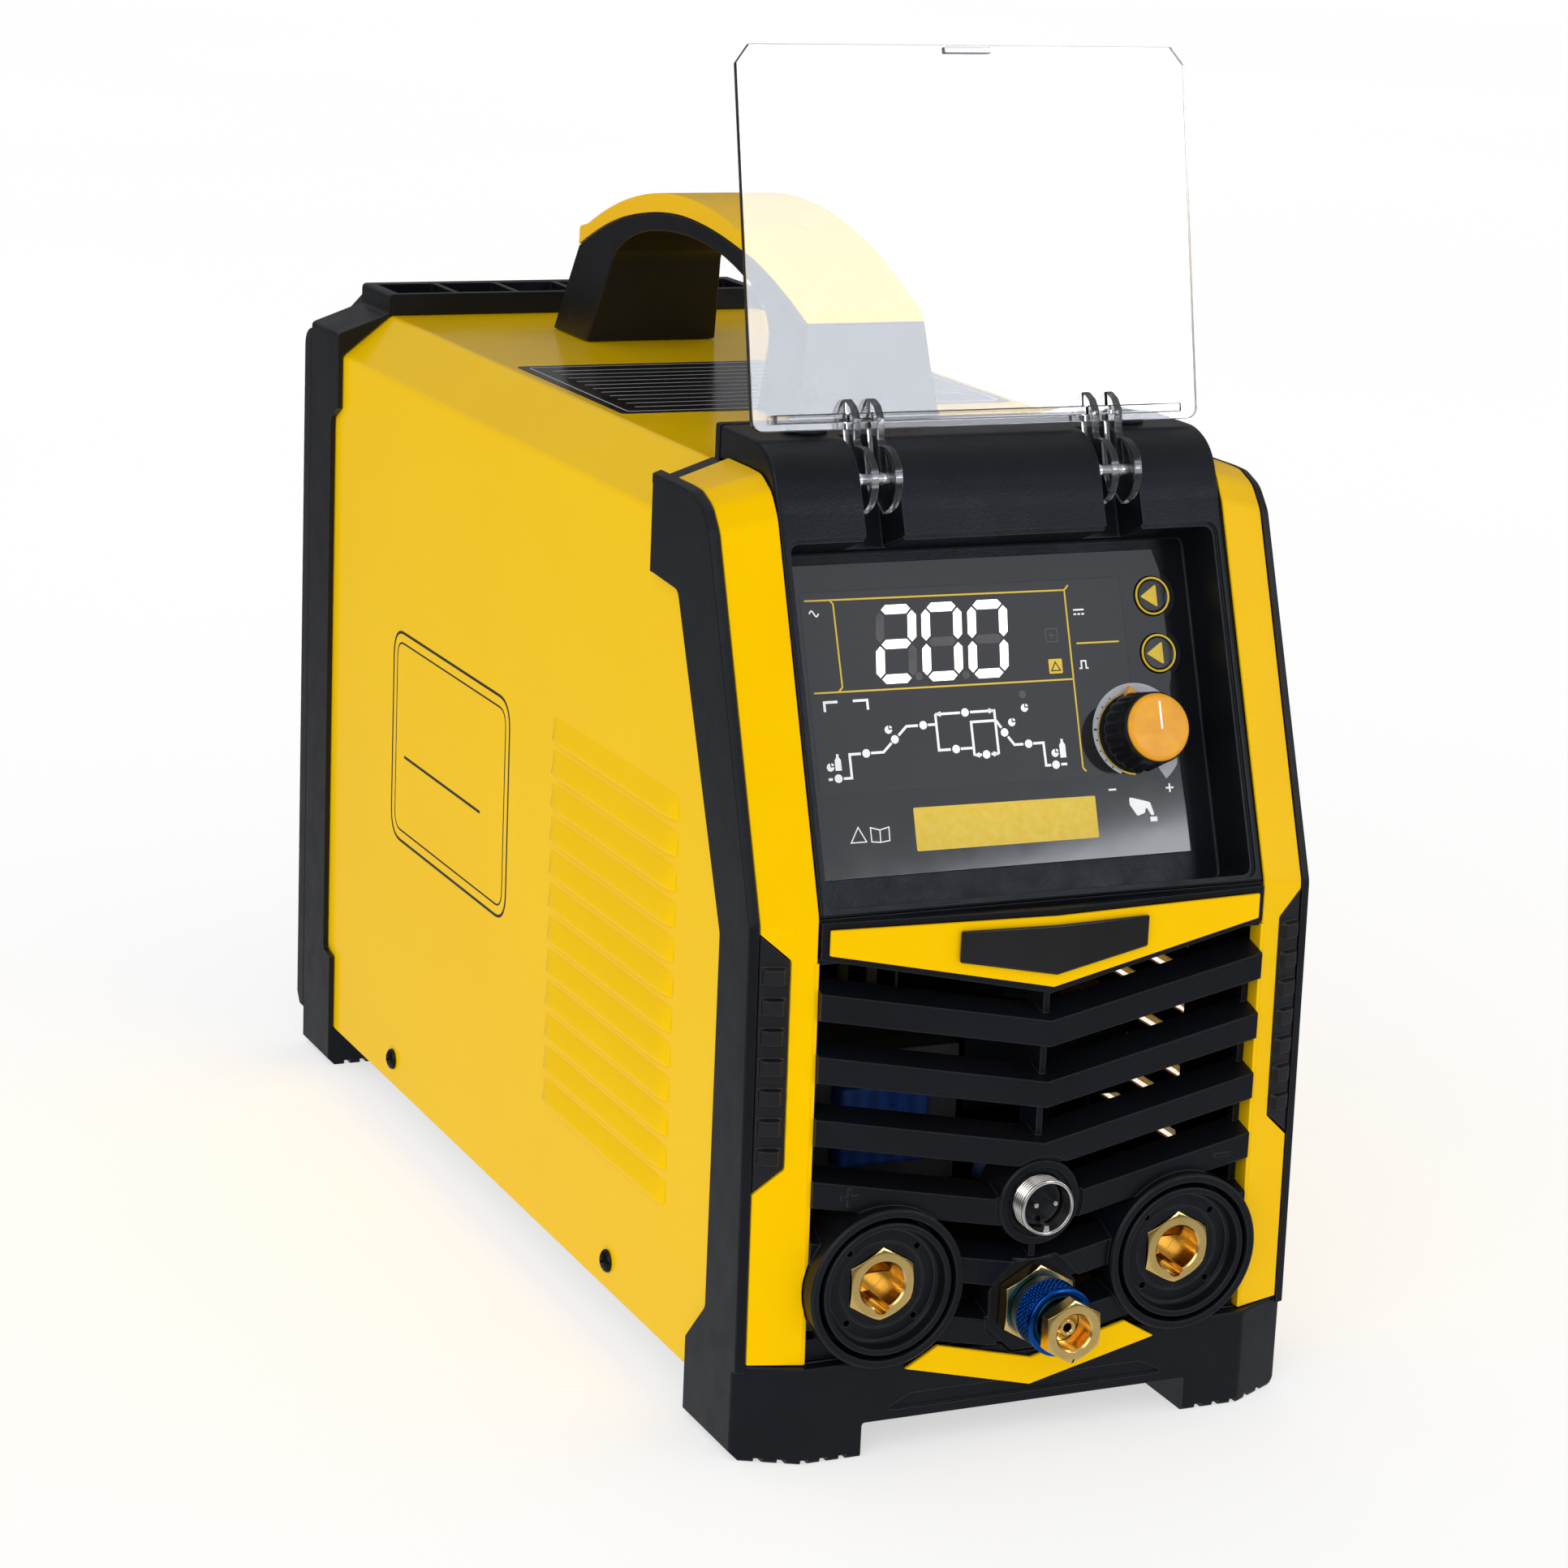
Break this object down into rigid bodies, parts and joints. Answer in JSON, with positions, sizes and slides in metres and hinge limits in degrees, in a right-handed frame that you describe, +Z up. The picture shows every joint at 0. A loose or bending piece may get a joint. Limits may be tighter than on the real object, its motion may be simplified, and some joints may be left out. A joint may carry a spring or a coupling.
{
  "type": "tig welding machine",
  "caption": "Portable inverter TIG welder with a hinged clear cover over its sloped control panel, a carrying handle, twist-lock sockets and a gas coupler.",
  "frame": {"origin": "on the floor under the middle of the whole machine's bounding box", "axes": "+Z up, -Y out of the front face with the sockets, +X to the right of someone facing the front"},
  "size_m": [0.168, 0.43, 0.3679],
  "materials": {
    "black_plastic": "fine grained satin",
    "yellow_plastic": "satin",
    "yellow_paint": "satin powder coat",
    "clear_plastic": "clear polycarbonate",
    "brass": "machined",
    "blue_anodised": "anodised",
    "nickel": "nickel plated",
    "steel": "zinc plated",
    "bare_aluminium": "extruded",
    "rubber": "moulded",
    "overlay_film": "gloss film",
    "amber_plastic": "satin",
    "circuit_board": "solder mask",
    "copper": "enamelled wire",
    "ferrite": "sintered",
    "blue_tape": "wound tape"
  },
  "bodies": {
    "case": {"front_frame": "black_plastic", "display_housing": "black_plastic", "rear_frame": "black_plastic", "trim_strip_left": "yellow_plastic", "trim_strip_right": "yellow_plastic", "grip_pad_left": "rubber", "grip_pad_right": "rubber", "display_overlay": "overlay_film", "display_board": "circuit_board", "encoder_body": "steel", "hinge_pin_left": "steel", "hinge_pin_right": "steel", "cover_bumper_left": "rubber", "cover_bumper_right": "rubber", "front_grille": "black_plastic", "upper_chevron": "yellow_plastic", "badge_plate": "black_plastic", "lower_chevron": "yellow_plastic", "socket_insulator_left": "black_plastic", "socket_insulator_right": "black_plastic", "socket_contact_left": "brass", "socket_contact_right": "brass", "connector_shell": "nickel", "connector_insert": "black_plastic", "coupler_body": "brass", "coupler_nipple": "brass", "sheet_cover": "yellow_paint", "cover_screw_left_front": "steel", "cover_screw_left_rear": "steel", "cover_screw_right_front": "steel", "cover_screw_right_rear": "steel", "base_tray": "steel", "rear_bumper": "rubber", "rear_panel": "black_plastic", "fan_housing": "black_plastic", "switch_body": "black_plastic", "mains_gland": "black_plastic", "gas_inlet": "brass", "handle_body": "black_plastic", "handle_cap": "yellow_plastic", "heat_sink": "bare_aluminium", "power_board": "circuit_board", "bus_capacitor_left": "blue_tape", "bus_capacitor_right": "blue_tape", "transformer_core": "ferrite", "transformer_winding": "blue_tape", "output_choke": "copper", "gas_valve": "steel", "gas_hose": "rubber", "arc_starter": "black_plastic"},
    "cover": {"clear_cover": "clear_plastic"},
    "plunger": {"encoder_plunger": "black_plastic"},
    "knob": {"encoder_shaft": "steel", "control_knob": "black_plastic", "knob_cap": "amber_plastic"},
    "upper_button": {"button_upper": "black_plastic"},
    "lower_button": {"button_lower": "black_plastic"},
    "gas_sleeve": {"coupler_sleeve": "blue_anodised"},
    "fan": {"fan_rotor": "black_plastic"},
    "rocker": {"switch_rocker": "black_plastic"}
  },
  "joints": [
    {"name": "cover_hinge", "type": "hinge", "parent": "case", "child": "cover", "pos_m": [0, -0.1414, 0.2568], "axis": [1, 0, 0], "range_deg": [0, 171]},
    {"name": "knob_push", "type": "slide", "parent": "case", "child": "plunger", "axis": [0, 0.9363, -0.3511], "range_m": [0, 0.0005], "stiffness_N_per_m": 2500, "springref_m": -0.0004},
    {"name": "knob_turn", "type": "hinge", "parent": "plunger", "child": "knob", "pos_m": [0.041, -0.15596, 0.18661], "axis": [0, -0.9363, 0.3511], "continuous": true},
    {"name": "upper_button_press", "type": "slide", "parent": "case", "child": "upper_button", "axis": [0, 0.9363, -0.3511], "range_m": [0, 0.0006], "stiffness_N_per_m": 1500, "springref_m": -0.0004},
    {"name": "lower_button_press", "type": "slide", "parent": "case", "child": "lower_button", "axis": [0, 0.9363, -0.3511], "range_m": [0, 0.0006], "stiffness_N_per_m": 1500, "springref_m": -0.0004},
    {"name": "gas_sleeve_slide", "type": "slide", "parent": "case", "child": "gas_sleeve", "axis": [0, -1, 0], "range_m": [0, 0.003], "stiffness_N_per_m": 400, "springref_m": -0.001},
    {"name": "fan_spin", "type": "hinge", "parent": "case", "child": "fan", "pos_m": [0, 0.177, 0.165], "axis": [0, 1, 0], "continuous": true},
    {"name": "power_rocker", "type": "hinge", "parent": "case", "child": "rocker", "pos_m": [-0.035, 0.1884, 0.068], "axis": [1, 0, 0], "range_deg": [0, 15]}
  ]
}
